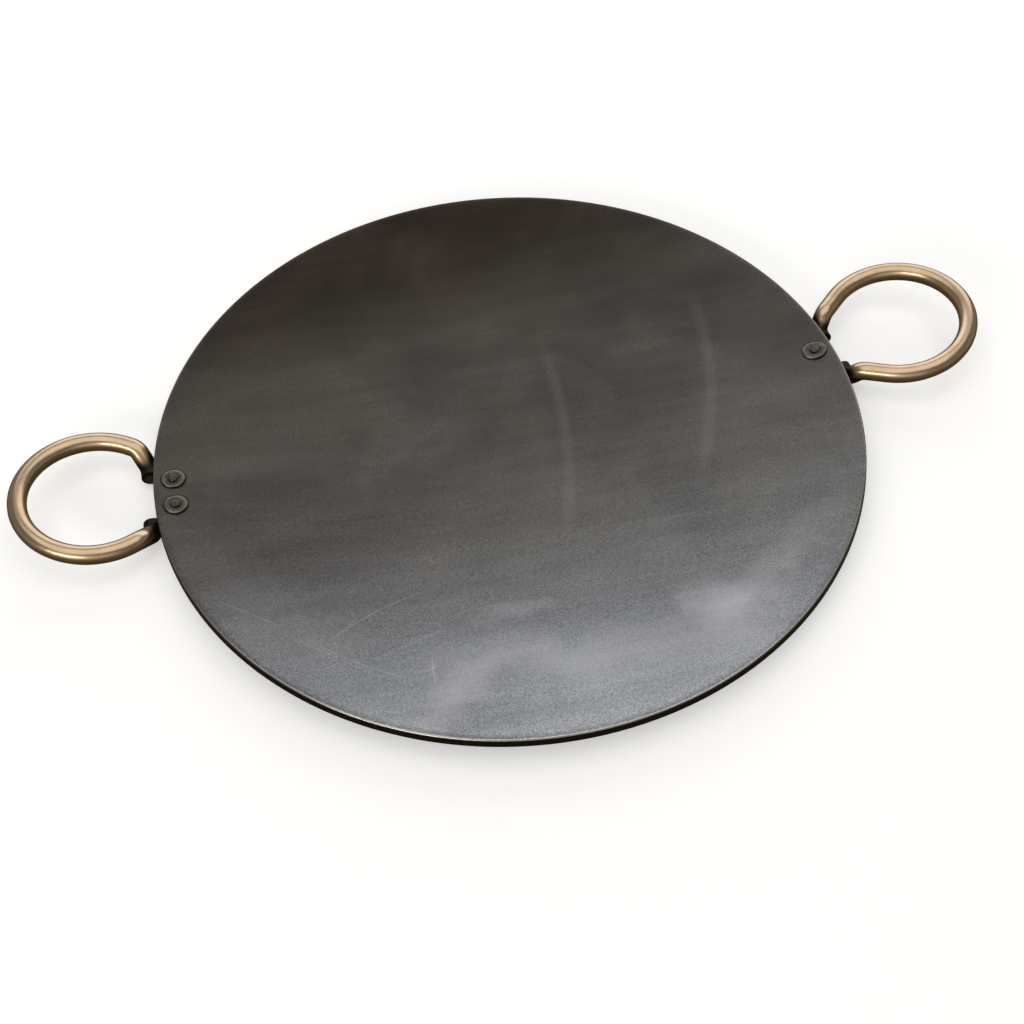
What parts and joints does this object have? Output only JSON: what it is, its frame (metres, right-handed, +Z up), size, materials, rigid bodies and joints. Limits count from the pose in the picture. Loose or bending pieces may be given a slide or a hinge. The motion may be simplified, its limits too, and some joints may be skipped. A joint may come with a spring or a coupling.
{
  "type": "round griddle pan",
  "caption": "Shallow dished round steel griddle pan with a swinging bronze ring handle riveted under the rim on each side.",
  "frame": {"origin": "centre of the flat on the underside that the pan rests on", "axes": "+Z up out of the dish; -X towards the left handle, which has the wider bracket and the pair of rivets; +Y to the back"},
  "size_m": [0.4929, 0.3498, 0.0261],
  "materials": {
    "blackened_steel": "blackened and oiled, satin, worn bright at the rim",
    "bracket_steel": "blackened, dull, scuffed along its edges",
    "rivet_steel": "blackened, satin, hammered tips rubbed bright",
    "bronze": "antique bronze, polished by hands on top, dark in its recesses"
  },
  "bodies": {
    "pan": {"pan": "blackened_steel", "left_bracket": "bracket_steel", "right_bracket": "bracket_steel", "left_rivet_front": "rivet_steel", "left_rivet_back": "rivet_steel", "right_rivet": "rivet_steel", "left_burr_front": "rivet_steel", "left_burr_back": "rivet_steel", "right_burr": "rivet_steel"},
    "left_handle": {"left_ring": "bronze"},
    "right_handle": {"right_ring": "bronze"}
  },
  "joints": [
    {"name": "left_ring_hinge", "type": "hinge", "parent": "pan", "child": "left_handle", "pos_m": [-0.1772, 0, 0.00587], "axis": [0, -1, 0], "range_deg": [-16, 184]},
    {"name": "right_ring_hinge", "type": "hinge", "parent": "pan", "child": "right_handle", "pos_m": [0.17547, 0.02466, 0.00587], "axis": [-0.1392, 0.9903, 0], "range_deg": [-13, 184]}
  ]
}
